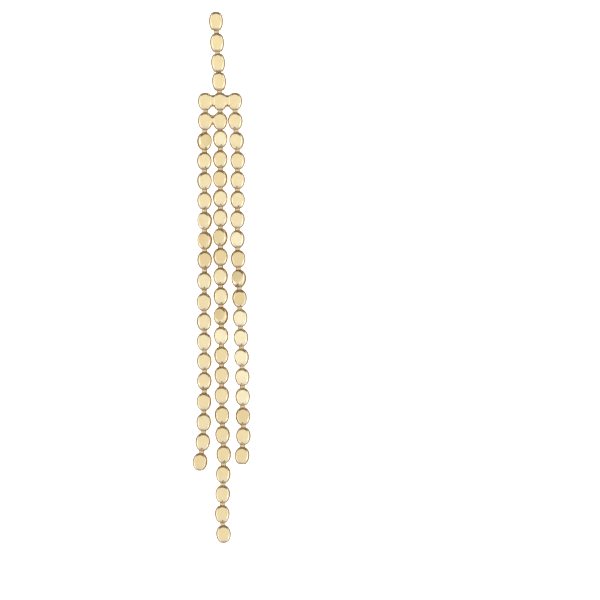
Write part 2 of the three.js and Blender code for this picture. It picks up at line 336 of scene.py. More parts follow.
def arc(radius_x, radius_y, start, end, steps, middle=0.0):
    """Points of an ellipse about (0, middle), between two angles in degrees."""
    angles = [math.radians(lerp(start, end, share)) for share in shares(steps)]
    return [(radius_x * math.cos(a), middle + radius_y * math.sin(a)) for a in angles]


def rounded_corner(before, corner, after, size):
    """Points that cut the corner between two others round, from one side to the other."""
    before, corner, after = Vector(before), Vector(corner), Vector(after)
    start = corner + (before - corner).normalized() * size
    end = corner + (after - corner).normalized() * size
    return [tuple(start.lerp(corner, s).lerp(corner.lerp(end, s), s)) for s in shares(CORNER_STEPS)]


def drawn_line(points):
    """A bmesh of an open line through points, with its points and edges."""
    bm = bmesh.new()
    verts = [bm.verts.new(point) for point in points]
    return bm, verts, [bm.edges.new(pair) for pair in zip(verts, verts[1:])]


def spun(section, steps):
    """The closed surface that (radius, height) pairs make round Z."""
    bm, verts, edges = drawn_line([(radius, 0, height) for radius, height in section])
    bmesh.ops.spin(
        bm,
        geom=verts + edges,
        cent=(0, 0, 0),
        axis=(0, 0, 1),
        angle=math.tau,
        steps=steps,
        use_merge=True,
    )
    bmesh.ops.remove_doubles(bm, verts=bm.verts[:], dist=MERGE_DISTANCE)
    bmesh.ops.recalc_face_normals(bm, faces=bm.faces[:])
    return bm


def laid(bm, matrix):
    """The same bmesh, moved."""
    bmesh.ops.transform(bm, matrix=matrix, verts=bm.verts[:])
    return bm


def cut_off(bm, point, outwards):
    """Cuts off what lies outwards of a plane, and closes the cut."""
    everything = bm.verts[:] + bm.edges[:] + bm.faces[:]
    cut = bmesh.ops.bisect_plane(bm, geom=everything, plane_co=point, plane_no=outwards, clear_outer=True)
    rim = [item for item in cut["geom_cut"] if isinstance(item, bmesh.types.BMEdge)]
    bmesh.ops.holes_fill(bm, edges=rim)
    return bm


def mesh_of(bm, name):
    """A mesh from a bmesh, which is freed."""
    mesh = bpy.data.meshes.new(name)
    bm.to_mesh(mesh)
    bm.free()
    return mesh


def new_object(name, data):
    """An object in the scene."""
    obj = bpy.data.objects.new(name, data)
    bpy.context.collection.objects.link(obj)
    return obj


def combined(first, joined, cut_out):
    """One mesh of a bmesh with some joined to it and others cut out of it."""
    base = new_object("form", mesh_of(first, "form"))
    helpers = []
    for operation, forms in (("UNION", joined), ("DIFFERENCE", cut_out)):
        for bm in forms:
            helper = new_object("helper", mesh_of(bm, "helper"))
            modifier = base.modifiers.new("Joint", "BOOLEAN")
            modifier.object = helper
            modifier.operation = operation
            modifier.solver = "EXACT"
            helpers.append(helper)
    bpy.context.view_layer.update()
    evaluated = base.evaluated_get(bpy.context.evaluated_depsgraph_get())
    result = bpy.data.meshes.new_from_object(evaluated)
    if not result.polygons:
        raise RuntimeError("nothing is left of a bead after its holes are cut")
    for item in [base, *helpers]:
        mesh = item.data
        bpy.data.objects.remove(item)
        bpy.data.meshes.remove(mesh)
    return result


# Beads

FACE_RINGS = (0.2, 0.4, 0.6, 0.8)  # of a face's radius
CORNER_ANGLE = 9  # degrees of the ball's side that the face edge's rounding takes
FLANK_STEPS = 14  # from a bead's front round its side to its back
LIP_STEPS = 10  # round a rolled lip's section
ROOM_STEPS = 4  # from the widest place in a bead's room to each end
CLOSED_TIP = 0.5  # how far a closed end goes on past the cut towards the egg's tip
SHOULDER = 0.75  # the share of the cut's height past which a closed end is pressed in
LIP_ROLL = 0.012  # how much thicker the rolled lip is than the wall round the hole
PAST = 0.2  # by which cutters run out of what they cut


def pressed_egg(egg, open_above, open_below):
    """An egg with a flat front and back, cut off where its holes are."""
    beads = settings().beads
    edge, crown, half = mm(beads.edge), mm(beads.crown), egg.depth / 2
    inner = egg.radius - egg.bulge
    tilt = math.degrees(math.acos((egg.face - inner) / egg.bulge))
    reach = half / math.sin(math.radians(tilt))
    flank = arc(egg.bulge, reach, tilt - CORNER_ANGLE, CORNER_ANGLE - tilt, FLANK_STEPS)
    flank = [(inner + out, height) for out, height in flank]
    front = [(0, half + crown)]
    front += [(egg.face * ring, half + crown * (1 - ring**2)) for ring in FACE_RINGS]
    front += rounded_corner(front[-1], (egg.face, half), flank[0], edge)
    back = [(radius, -height) for radius, height in reversed(front)]
    bm = laid(spun(front + flank + back, BEAD_STEPS), Matrix.Rotation(math.pi / 2, 4, "X"))
    for vert in bm.verts:
        stretch_to_egg(vert, egg)
    for side, is_open, cut, tip in (
        (1, open_above, top_of(egg), egg.rise),
        (-1, open_below, bottom_of(egg), egg.drop),
    ):
        if is_open:
            cut_off(bm, (0, 0, side * cut), (0, 0, side))
        else:
            press_in(bm, side, SHOULDER * cut, tip, lerp(cut, tip, CLOSED_TIP))
    return bm


def stretch_to_egg(vert, egg):
    """Draws a pressed ball's point up or down to the egg's outline, or to the end of its flat face."""
    taper = clamped((abs(vert.co.y) - egg.lip) / (egg.depth / 2 - egg.lip))
    outline, face_end = (egg.rise, egg.face_top) if vert.co.z > 0 else (egg.drop, egg.face_bottom)
    vert.co.z *= lerp(outline / egg.radius, face_end / egg.face, taper)


def press_in(bm, side, start, end, new_end):
    """Presses the tip above (1) or below (-1) in, the more so the nearer a point lies to the end."""
    for vert in bm.verts:
        share = clamped((side * vert.co.z - start) / (end - start))
        vert.co.z -= side * (end - new_end) * share**2


def rolled_lip(egg, height):
    """The rounded lip round a hole whose end is at this height."""
    hole = hole_radius()
    thick = (egg.lip - hole) / 2 + LIP_ROLL
    middle = (egg.lip + hole) / 2
    section = [(middle + x, height + z) for x, z in arc(thick, thick, 0, 360, LIP_STEPS)]
    return spun(section, PIN_STEPS)


def hollow(egg, open_above, open_below):
    """The room in a bead, with its holes."""
    room = room_of(egg)
    hole, reach = room.lip, room.depth / 2
    end = math.degrees(math.acos(hole / reach))
    stretch = 1 / math.sin(math.radians(end))
    low, high = -bottom_of(egg) - PAST, top_of(egg) + PAST
    lower = arc(reach, bottom_of(room) * stretch, -end, 0, ROOM_STEPS)
    upper = arc(reach, top_of(room) * stretch, 0, end, ROOM_STEPS)
    line = [(0, low), (hole, low)] if open_below else [(0, -bottom_of(room))]
    line += [*lower, *upper[1:]]
    line += [(hole, high), (0, high)] if open_above else [(0, top_of(room))]
    return spun(line, PIN_STEPS)


def bead_forms(egg, x=0.0, open_above=True, open_below=True):
    """The bmeshes that a bead at this place along X is joined from, and its room."""
    lip_middle = (egg.lip - hole_radius()) / 2
    forms = [pressed_egg(egg, open_above, open_below)]
    if open_above:
        forms.append(rolled_lip(egg, top_of(egg) - lip_middle))
    if open_below:
        forms.append(rolled_lip(egg, lip_middle - bottom_of(egg)))
    place = Matrix.Translation((x, 0, 0))
    return [laid(bm, place) for bm in forms], laid(hollow(egg, open_above, open_below), place)


NOTCH_TOP = 0.8  # how far below a bead's middle the gap in its lower lip starts
NOTCH_SIZE = (0.3, 0.5, 0.42)  # half the gap's width at its foot, its depth, and its height
TRIANGLE = (math.cos(math.radians(30)), 1.5)  # an even one of radius 1: half its width, and its height


def lip_notch(side, slant):
    """A prism to cut the gap in a bead's lower lip with, in front (-1) or behind (1)."""
    half_width, depth, height = NOTCH_SIZE
    bm = bmesh.new()
    bmesh.ops.create_cone(bm, cap_ends=True, segments=3, radius1=1, radius2=1, depth=1)
    size = Matrix.Diagonal((half_width / TRIANGLE[0], depth, height / TRIANGLE[1], 1))
    laid(bm, size @ Matrix.Rotation(math.pi / 2, 4, "X"))
    middle = Vector((0, side * (hole_radius() + depth / 2), -NOTCH_TOP - height * 2 / 3))
    return laid(bm, Matrix.Rotation(math.radians(slant), 4, "Z") @ Matrix.Translation(middle))


TEARS = 7
TEAR_SIZE, TEAR_SWING, TEAR_STEP = 0.24, 0.06, 2.4  # their radius, and how it varies in a wave
FIRST_TEAR = 0.25  # of the way from one tear to the next


def ragged_cuts(egg):
    """Small pyramids that leave a lower lip torn."""
    cuts = []
    for i in range(TEARS):
        bm = bmesh.new()
        size = TEAR_SIZE + TEAR_SWING * math.sin(TEAR_STEP * i)
        bmesh.ops.create_cone(bm, cap_ends=True, segments=4, radius1=size, radius2=0, depth=2 * size)
        place = Matrix.Rotation(math.tau * (i + FIRST_TEAR) / TEARS, 4, "Z")
        cuts.append(laid(bm, place @ Matrix.Translation((egg.lip, 0, -bottom_of(egg)))))
    return cuts


def bead_mesh(egg, open_above=True, open_below=True, extra=(), cuts=()):
    """A hollow bead, with anything extra joined to it or cut out."""
    forms, room = bead_forms(egg, open_above=open_above, open_below=open_below)
    return combined(forms[0], [*forms[1:], *extra], [room, *cuts])


WEB_SINK = 0.03  # by how much a web's ends stay below the beads' tops
WEB_REACH = 0.52  # of a bead's radius, to each side
WEB_STEPS = 6  # to each side


def solder_web(egg, middle, height, rise):
    """A web of solder that flares into the beads on both sides, round X."""
    reach = WEB_REACH * egg.radius
    waist, flare = height / 2, top_of(egg) - rise - WEB_SINK
    line = [(0, -reach)]
    line += [(lerp(waist, flare, share**2), reach * share) for share in shares(WEB_STEPS, -WEB_STEPS)]
    line.append((0, reach))
    bm = laid(spun(line, BEAD_STEPS), Matrix.Rotation(math.pi / 2, 4, "Y"))
    half = mm(settings().chain.solder_depth) / 2
    for side in (-1, 1):
        cut_off(bm, (0, side * half, 0), (0, side, 0))
    return laid(bm, Matrix.Translation((middle, 0, rise)))


PIT = (0.08, 0.4, 0.13)  # half the width, depth and height of the pit low in a web
PIT_RISE = 0.2  # from the web's foot up to its middle
PIT_SEGMENTS, PIT_RINGS = 14, 10


def solder_pit(middle, height, rise):
    """A pit that the solder left open, low in a web's front."""
    bm = bmesh.new()
    bmesh.ops.create_uvsphere(bm, u_segments=PIT_SEGMENTS, v_segments=PIT_RINGS, radius=1)
    front = -mm(settings().chain.solder_depth) / 2
    place = Matrix.Translation((middle, front, rise - height / 2 + PIT_RISE))
    return laid(bm, place @ Matrix.Diagonal((*PIT, 1)))


def soldered_mesh(egg, places, open_above, height, rise):
    """Hollow beads soldered side by side."""
    forms, rooms = [], []
    for x, is_open in zip(places, open_above):
        bead, room = bead_forms(egg, x, is_open)
        forms += bead
        rooms.append(room)
    middles = [(a + b) / 2 for a, b in zip(places, places[1:])]
    webs = [solder_web(egg, middle, height, rise) for middle in middles]
    pits = [solder_pit(middle, height, rise) for middle in middles]
    return combined(forms[0], forms[1:] + webs, rooms + pits)


# Pins and the ear post

HEAD_STEPS = 6  # round a pin's head
SHAFT_STEPS = 6  # along its shaft


def pin(length, high_egg, low_egg):
    """A pin with a head in each bead, standing on its lower bead's middle."""
    chain = settings().chain
    shaft, head, waist = mm(chain.pin_width) / 2, head_radius(), mm(chain.pin_waist) / 2
    neck = math.degrees(math.acos(shaft / head))
    lower = arc(head, head, -90, neck, HEAD_STEPS, top_of(room_of(low_egg)) - head_reach())
    head_middle = length - bottom_of(room_of(high_egg)) + head_reach()
    upper = arc(head, head, -neck, 90, HEAD_STEPS, head_middle)
    start, end = top_of(low_egg), length - bottom_of(high_egg)
    line = [(shaft - waist * math.sin(math.pi * s), lerp(start, end, s)) for s in shares(SHAFT_STEPS)]
    return mesh_of(spun(lower + line + upper, PIN_STEPS), "pin")


POST_TIP = 0.25  # rounding of its end
POST_FOOT = 0.3  # reach and height of its solder
FILLET_ANGLES = (0, 25, 50, 72)  # degrees round the solder's hollow side
TIP_START = 15  # degrees, where the end's rounding begins
TIP_STEPS = 5


def ear_post(egg):
    """The ear post with the cone of solder at its root, on the back of its bead."""
    chain = settings().chain
    radius, length = mm(chain.post_width) / 2, mm(chain.post_length)
    sunk = mm(settings().beads.wall) / 2
    angles = [math.radians(angle) for angle in FILLET_ANGLES]
    fillet = [(radius + POST_FOOT * (1 - math.sin(a)), POST_FOOT * (1 - math.cos(a))) for a in angles]
    line = [(0, -sunk), (radius + POST_FOOT, -sunk), *fillet, (radius, POST_FOOT)]
    line += [(radius, length / 2), (radius, length - POST_TIP)]
    tip = arc(POST_TIP, POST_TIP, TIP_START, 90, TIP_STEPS, length - POST_TIP)
    line += [(radius - POST_TIP + x, z) for x, z in tip]
    line.append((0, length))
    backwards = Matrix.Translation((0, egg.depth / 2, 0)) @ Matrix.Rotation(-math.pi / 2, 4, "X")
    return laid(spun(line, PIN_STEPS), backwards)


# Pieces

GOLD, PIN_GOLD = 0, 1  # a strand's material slots
SHARP_ANGLE = 32  # degrees past which an edge is shaded sharp
DIMPLE_REACH, DIMPLE_DEPTH = 0.16, 0.07

# How deep the gold is, how amber it is, and how dark the painted shade in the gap under the faces is, each
# from 0 to 1.
Look = namedtuple("Look", "tone warmth mark", defaults=[0])


class Piece:
    """Gathers beads and pins into one object that stands for a node."""

    def __init__(self, node, slot="bead_gold"):
        self.node = node
        self.slot = slot
        self.bm = bmesh.new()
        self.place = self.bm.verts.layers.float_vector.new("place")
        self.looks = [self.bm.verts.layers.float.new(name) for name in Look._fields]

    def add(self, mesh, matrix, look, material=GOLD, centres=((0, 0),), dimple=None):
        """Adds a copy of a mesh, whose points keep their place about the nearest of its centres."""
        verts_before, faces_before = len(self.bm.verts), len(self.bm.faces)
        self.bm.from_mesh(mesh)
        self.bm.verts.ensure_lookup_table()
        self.bm.faces.ensure_lookup_table()
        verts, faces = self.bm.verts[verts_before:], self.bm.faces[faces_before:]
        for vert in verts:
            x, z = min(centres, key=lambda centre: abs(vert.co.x - centre[0]))
            vert[self.place] = vert.co - Vector((x, 0, z))
            for layer, value in zip(self.looks, look):
                vert[layer] = value
            if dimple and vert.co.y < 0:
                away = math.hypot(vert.co.x - dimple[0], vert.co.z - dimple[1])
                vert.co.y += DIMPLE_DEPTH * math.exp(-((away / DIMPLE_REACH) ** 2))
        for face in faces:
            face.material_index = material
            face.smooth = True
        bmesh.ops.transform(self.bm, matrix=matrix, verts=verts)

    def finish(self, materials):
        """Makes the object, in the frame's metres, and gives it to the frame."""
        laid(self.bm, Matrix.Scale(MM, 4))
        mesh = mesh_of(self.bm, self.node + "_dressed")
        mesh.set_sharp_from_angle(angle=math.radians(SHARP_ANGLE))
        obj = new_object(self.node + "_dressed", mesh)
        for material in materials:
            mesh.materials.append(material)
        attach(obj, "root")
        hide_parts(self.node)


# Places, in millimetres


def hang_at(bead, column):
    """A column of the hanging table at one bead, read between its rows."""
    for a, b in zip(HANG, HANG[1:]):
        if a.bead <= bead <= b.bead:
            share = (bead - a.bead) / (b.bead - a.bead)
            return lerp(getattr(a, column), getattr(b, column), share)
    raise ValueError(f"no bead {bead} in the hanging table")


def offset_at(strand, bead):
    """How far to the right of the bar's middle a strand's bead hangs."""
    width = 2 * strand_egg().radius
    sway = width * hang_at(bead, "sway")
    if bead <= strand.soldered_count or not strand.side:
        return sway + strand.side * bar_spacing()
    gap = hang_at(bead, "left_gap" if strand.side < 0 else "right_gap")
    return sway + strand.side * width * (1 + gap)


def strand_places(strand):
    """The middles of a strand's beads, from the bar's bead down, in the bar's frame."""
    pitch = mm(settings().chain.pitch)
    places = []
    for bead in range(1, strand.bead_count + 1):
        drop = hang_at(bead, strand.drop_column) if strand.drop_column else 0
        places.append(Vector((offset_at(strand, bead), 0, -pitch * (bead - 1 + drop))))
    return places


def lean_of(high, low):
    """How far the line between two places leans, as an angle about Y."""
    return math.atan2(high.x - low.x, high.z - low.z)


def standing(high, low):
    """Stands something on the lower of two places, along the line between them."""
    return Matrix.Translation(low) @ Matrix.Rotation(lean_of(high, low), 4, "Y")


def bead_matrix(strand, places, bead):
    """Hangs a bead in line with its neighbours, turned and nodding."""
    swing = TURN_SWING * math.sin(TURN_STEP * bead + strand.side)
    turn, nod = STANDOUTS.get((strand.side, bead), (swing, MEAN_NOD + swing / 2))
    middle = places[bead - 1]
    below = places[bead] if bead < len(places) else middle
    lean = Matrix.Rotation(lean_of(places[bead - 2], below), 4, "Y")
    turned = Matrix.Rotation(math.radians(turn), 4, "Z")
    nodding = Matrix.Rotation(-math.radians(nod), 4, "X")
    return Matrix.Translation(middle) @ lean @ turned @ nodding


def stem_places():
    """The middles of the stem's beads and of the bar, straight down from the top bead."""
    chain = settings().chain
    places = [Vector((0, 0, 0))]
    for drawn in chain.stem_drawn:
        places.append(places[-1] - Vector((0, 0, mm(chain.pitch) * (1 + drawn))))
    return places


def stem_matrix():
    """The top bead's back is at the origin."""
    return Matrix.Translation((0, -stem_egg().depth / 2, 0))


def chain_matrix():
    """The stem leans as a whole about the top bead's middle."""
    return stem_matrix() @ Matrix.Rotation(-settings().chain.stem_lean, 4, "Y")


def bar_matrix():
    """The bar hangs level at the end of the leaning stem."""
    return Matrix.Translation(chain_matrix() @ stem_places()[-1])


WARM_ROWS = 9  # the rows over which the amber fades
PALE_ROWS = 9  # the rows below these grow deeper
PALEST_TONES = (0.2, 0.47)  # of plain beads, in the pale rows and at the foot
TONE_SPREAD = (0.0, 0.25)
DEEP_TONES = (0.66, 0.86)
PALE_TONES = (0.0, 0.08)
# How dark the painted shade in a notched bead's gap is
NOTCH_SHADE_RANGE = (0.35, 1.0)


def look_of(side, bead, is_notched, dice):
    """The look of a strand's bead, by its side and number."""
    warmth = clamped((WARM_ROWS - bead) / WARM_ROWS)
    mark = dice.uniform(*NOTCH_SHADE_RANGE) if is_notched else 0
    if bead in DEEP_BEADS[side]:
        return Look(dice.uniform(*DEEP_TONES), warmth, mark)
    if bead in PALE_BEADS[side]:
        return Look(dice.uniform(*PALE_TONES), warmth / 2, mark)
    palest = lerp(*PALEST_TONES, clamped((bead - PALE_ROWS) / PALE_ROWS))
    return Look(palest + dice.uniform(*TONE_SPREAD), warmth, mark)


# Finishes

VECTOR, NUMBER = "NodeSocketVector", "NodeSocketFloat"


def node_group(name, inputs, output):
    """A new shader node group that makes a number, with its input and output nodes."""
    group = bpy.data.node_groups.new(name, "ShaderNodeTree")
    for socket, kind in inputs.items():
        group.interface.new_socket(socket, in_out="INPUT", socket_type=kind)
    group.interface.new_socket(output, in_out="OUTPUT", socket_type=NUMBER)
    return group, group.nodes.new("NodeGroupInput"), group.nodes.new("NodeGroupOutput")


def feed(tree, socket, value):
    """Gives a socket a constant, or links another node's output to it."""
    if isinstance(value, bpy.types.NodeSocket):
        tree.links.new(value, socket)
    else:
        socket.default_value = value


def math_node(tree, operation, *values, clamp=False):
    """A Math node of numbers or other nodes' outputs. Returns its output."""
    node = tree.nodes.new("ShaderNodeMath")
    node.operation = operation
    node.use_clamp = clamp
    for socket, value in zip(node.inputs, values):
        feed(tree, socket, value)
    return node.outputs[0]


def times(tree, a, b):
    return math_node(tree, "MULTIPLY", a, b)


def weighed(tree, value, weight, base):
    """A value times a weight, added to a base."""
    return math_node(tree, "MULTIPLY_ADD", value, weight, base)


def ramp_between(tree, value, low, high):
    """0 below low and 1 above high, smoothly between them."""
    node = tree.nodes.new("ShaderNodeMapRange")
    node.interpolation_type = "SMOOTHSTEP"
    feed(tree, node.inputs["Value"], value)
    feed(tree, node.inputs["From Min"], low)
    feed(tree, node.inputs["From Max"], high)
    return node.outputs["Result"]


def scaled(tree, vector, scale):
    """A vector stretched along each axis."""
    node = tree.nodes.new("ShaderNodeMapping")
    node.inputs["Scale"].default_value = scale
    tree.links.new(vector, node.inputs["Vector"])
    return node.outputs["Vector"]


# A noise by its scale to a millimetre, its detail and roughness, which may fade in between two levels.
Pattern = namedtuple("Pattern", "scale detail roughness low high", defaults=[None, None])
SCRATCHES_ALONG = Pattern(1.6, 3.0, 0.6, 0.58, 0.74)
SCRATCHES_ACROSS = Pattern(1.4, 3.0, 0.6, 0.62, 0.78)
BROAD_DENTS = Pattern(1.5, 1.0, 0.4)
SMALL_DENTS = Pattern(5.0, 2.0, 0.5)
DIRT_AND_SHADE_PATCHES = Pattern(4.5, 3.0, 0.6, 0.3, 0.7)
WEAR_AND_HIGHLIGHT_PATCHES = Pattern(3.0, 2.0, 0.6, 0.3, 0.65)
DULL_PATCHES = Pattern(3.1, 3.0, 0.6)
BEAD_CLOUDS = Pattern(1.1, 2.0, 0.5, 0.35, 0.7)
PIN_CLOUDS = Pattern(2.4, 2.0, 0.5, 0.35, 0.7)


def noise(tree, vector, pattern):
    node = tree.nodes.new("ShaderNodeTexNoise")
    node.inputs["Scale"].default_value = pattern.scale
    node.inputs["Detail"].default_value = pattern.detail
    node.inputs["Roughness"].default_value = pattern.roughness
    tree.links.new(vector, node.inputs["Vector"])
    value = node.outputs["Fac"]
    return value if pattern.low is None else ramp_between(tree, value, pattern.low, pattern.high)


MIX_A, MIX_B, MIX_RESULT = 6, 7, 2  # a Mix node's sockets for colours, which share their names with others


def colour_mix(tree, factor, a, b):
    """Mixes two colours, each a constant or another node's output."""
    node = tree.nodes.new("ShaderNodeMix")
    node.data_type = "RGBA"
    feed(tree, node.inputs[0], factor)
    feed(tree, node.inputs[MIX_A], a)
    feed(tree, node.inputs[MIX_B], b)
    return node.outputs[MIX_RESULT]


def attribute(tree, name, output):
    """What a piece's points hold under this name."""
    node = tree.nodes.new("ShaderNodeAttribute")
    node.attribute_name = name
    return node.outputs[output]


def split_vector(tree, vector):
    node = tree.nodes.new("ShaderNodeSeparateXYZ")
    tree.links.new(vector, node.inputs[0])
    return node.outputs


ALONG_SCALE = (2.0, 14.0, 26.0)  # the long way of the scratches is the least scaled
ACROSS_SCALE = (24.0, 12.0, 3.0)


def scratches_group():
    """Fine polishing scratches in two directions."""
    group, start, end = node_group("Polishing scratches", {"Vector": VECTOR}, "Mask")
    vector = start.outputs["Vector"]
    along = noise(group, scaled(group, vector, ALONG_SCALE), SCRATCHES_ALONG)
    across = noise(group, scaled(group, vector, ACROSS_SCALE), SCRATCHES_ACROSS)
    group.links.new(math_node(group, "MAXIMUM", along, across), end.inputs["Mask"])
    return group


SMALL_DENT_SHARE = 0.2  # beside the broad ones


def dents_group():
    """The soft unevenness of thin pressed metal."""
    group, start, end = node_group("Soft dents", {"Vector": VECTOR}, "Height")
    broad = noise(group, start.outputs["Vector"], BROAD_DENTS)
    small = noise(group, start.outputs["Vector"], SMALL_DENTS)
    group.links.new(weighed(group, small, SMALL_DENT_SHARE, broad), end.inputs["Height"])
    return group


PATCHY_DIRT_AND_SHADE, EVEN_DIRT_AND_SHADE = 0.5, 0.45  # what each adds to the tarnished grime and painted shade at the ends
UNDER_FACE = 0.86  # how far below a bead's middle the painted shade under its faces starts
UNDER_FACE_SLOPE = 1.0  # how much lower the mark starts, for each millimetre aside
UNDER_FACE_BLUR = 0.14


def crease_group():
    """Where gold is tarnished and grimy, with painted shade, at both ends of a bead or pin, and a painted
    shadow under a bead's faces.
    """
    inputs = {"Place": VECTOR, "Vector": VECTOR, "Mark": NUMBER, "Start": NUMBER, "End": NUMBER}
    group, start, end = node_group("Crease dirt", inputs, "Mask")
    place = split_vector(group, start.outputs["Place"])
    height = math_node(group, "ABSOLUTE", place["Z"])
    near_end = ramp_between(group, height, start.outputs["Start"], start.outputs["End"])
    patches = noise(group, start.outputs["Vector"], DIRT_AND_SHADE_PATCHES)
    near_end = times(group, near_end, weighed(group, patches, PATCHY_DIRT_AND_SHADE, EVEN_DIRT_AND_SHADE))
    aside = math_node(group, "ABSOLUTE", place["X"])
    # Painted shadow of the lip over the gap in the lower lip, under the faces
    depth_under = weighed(group, aside, -UNDER_FACE_SLOPE, -UNDER_FACE)
    depth_under = math_node(group, "SUBTRACT", depth_under, place["Z"])
    under = times(group, ramp_between(group, depth_under, 0.0, UNDER_FACE_BLUR), start.outputs["Mark"])
    group.links.new(math_node(group, "MAXIMUM", near_end, under), end.inputs["Mask"])
    return group


EDGE_RADIUS, EDGE_BAND = 0.77, 0.16  # of the pale ring, wear and a painted highlight, and half its width
EDGE_SQUASH = 0.85  # makes the ring taller than wide, as the faces are
PATCHY_WEAR_AND_HIGHLIGHT, EVEN_WEAR_AND_HIGHLIGHT = 0.4, 0.6  # what each adds to the wear and painted highlight


def edge_group():
    """The edge of a flat face, paler from wear and a painted highlight."""
    group, start, end = node_group("Face edge wear and highlight", {"Place": VECTOR}, "Mask")
    place = split_vector(group, start.outputs["Place"])
    across = math_node(group, "POWER", place["X"], 2.0)
    upright = math_node(group, "POWER", times(group, place["Z"], EDGE_SQUASH), 2.0)
    radius = math_node(group, "SQRT", math_node(group, "ADD", across, upright))
    away = math_node(group, "ABSOLUTE", math_node(group, "SUBTRACT", radius, EDGE_RADIUS))
    away = math_node(group, "DIVIDE", away, EDGE_BAND)
    near = math_node(group, "SUBTRACT", 1.0, away, clamp=True)
    patches = noise(group, start.outputs["Place"], WEAR_AND_HIGHLIGHT_PATCHES)
    strength = weighed(group, patches, PATCHY_WEAR_AND_HIGHLIGHT, EVEN_WEAR_AND_HIGHLIGHT)
    group.links.new(times(group, near, strength), end.inputs["Mask"])
    return group


def placed_group(tree, name, make, **values):
    """A group in a material's tree, made the first time that it is asked for. Returns its output."""
    node = tree.nodes.new("ShaderNodeGroup")
    node.node_tree = bpy.data.node_groups.get(name) or make()
    for key, value in values.items():
        feed(tree, node.inputs[key], value)
    return node.outputs[0]


PATTERN_SHIFT = {"X": 97.0, "Z": 31.0}  # millimetres, from the palest gold's to the deepest gold's


def own_vector(tree, place, tone):
    """A bead's own part of every pattern, set apart from the next bead's by its tone."""
    apart = tree.nodes.new("ShaderNodeCombineXYZ")
    for axis, shift in PATTERN_SHIFT.items():
        feed(tree, apart.inputs[axis], times(tree, tone, shift))
    node = tree.nodes.new("ShaderNodeVectorMath")
    node.operation = "ADD"
    tree.links.new(place, node.inputs[0])
    tree.links.new(apart.outputs[0], node.inputs[1])
    return node.outputs[0]


Bump = namedtuple("Bump", "distance strength")  # the distance is in millimetres
DENT_BUMP = Bump(0.03, 0.5)
SCRATCH_BUMP = Bump(0.002, 0.35)


def bumped(tree, height, bump, normal=None, invert=False):
    """A normal that follows a height, on top of another normal."""
    node = tree.nodes.new("ShaderNodeBump")
    node.invert = invert
    node.inputs["Strength"].default_value = bump.strength
    node.inputs["Distance"].default_value = bump.distance * MM
    tree.links.new(height, node.inputs["Height"])
    if normal:
        tree.links.new(normal, node.inputs["Normal"])
    return node.outputs["Normal"]


def opaque(colour):
    return (*colour, 1.0)


EDGE_TINT = (0.6, 0.45, 0.32)  # what the gold's shine turns to at a glancing angle
RUBBED_AND_HIGHLIT_SHARE, TARNISH_AND_SHADE_SHARE = 0.7, 0.9  # how far the pale ring (wear and painted highlight) and the crease colour (tarnished grime and painted shade) go towards their colours
DIRT_AND_SHADE_COVER = 0.85  # how far grime and painted shade hide the metal, so that the creases stay dark

# What each adds to the roughness.
DULL_BY_PATCHES, DULL_BY_SCRATCHES, DULL_BY_DIRT_AND_SHADE, DULL_BY_WEAR_AND_HIGHLIGHT = 0.1, 0.1, 0.2, -0.04


def gold_material(name, base_of, roughness, dirt_and_shade):
    """A polished gold with wear and a painted highlight round the faces, and grime with painted shade in
    the creases. base_of makes its colour, and dirt_and_shade says where the grime and painted shade start
    and are full.
    """
    finish = settings().finish
    material = bpy.data.materials.new(name)
    material.use_nodes = True
    tree = material.node_tree
    shader = tree.nodes["Principled BSDF"]
    shader.inputs["Specular Tint"].default_value = opaque(EDGE_TINT)

    place = attribute(tree, "place", "Vector")
    tone = attribute(tree, "tone", "Fac")
    own = own_vector(tree, place, tone)
    # Darker at both ends of each bead and pin from tarnished grime and painted shade, with a painted shadow
    # in the gap under the faces
    creases = placed_group(
        tree,
        "Crease dirt",
        crease_group,
        Place=place,
        Vector=own,
        Mark=attribute(tree, "mark", "Fac"),
        Start=dirt_and_shade[0],
        End=dirt_and_shade[1],
    )
    # Paler ring round each face: wear and a painted highlight
    worn_and_highlit = placed_group(tree, "Face edge wear and highlight", edge_group, Place=place)
    lines = placed_group(tree, "Polishing scratches", scratches_group, Vector=own)
    dents = placed_group(tree, "Soft dents", dents_group, Vector=own)

    colour = base_of(tree, tone, own)
    # The pale ring: wear and a painted highlight
    colour = colour_mix(tree, times(tree, worn_and_highlit, RUBBED_AND_HIGHLIT_SHARE), colour, opaque(finish.rubbed_and_highlit))
    # The crease colour: tarnished grime and painted shade
    colour = colour_mix(tree, times(tree, creases, TARNISH_AND_SHADE_SHARE), colour, opaque(finish.tarnish_and_shade))
    tree.links.new(colour, shader.inputs["Base Color"])
    # Less metal in the creases, so that the painted shade stays dark whatever it mirrors
    tree.links.new(weighed(tree, creases, -DIRT_AND_SHADE_COVER, 1.0), shader.inputs["Metallic"])

    rough = roughness - DULL_BY_PATCHES / 2
    for mask, dulling in (
        (noise(tree, own, DULL_PATCHES), DULL_BY_PATCHES),
        (lines, DULL_BY_SCRATCHES),
        (creases, DULL_BY_DIRT_AND_SHADE),
        (worn_and_highlit, DULL_BY_WEAR_AND_HIGHLIGHT),
    ):
        rough = weighed(tree, mask, dulling, rough)
    tree.links.new(rough, shader.inputs["Roughness"])

    soft = bumped(tree, dents, DENT_BUMP)
    tree.links.new(bumped(tree, lines, SCRATCH_BUMP, soft, invert=True), shader.inputs["Normal"])
    return material


BEAD_ROUGHNESS, PIN_ROUGHNESS = 0.15, 0.2
BEAD_DIRT_AND_SHADE, PIN_DIRT_AND_SHADE = (0.86, 1.12), (0.03, 0.2)  # how far from the middle the grime and painted shade start, and are full
AMBER_SHARE, CLOUD_SHARE = 0.6, 0.2


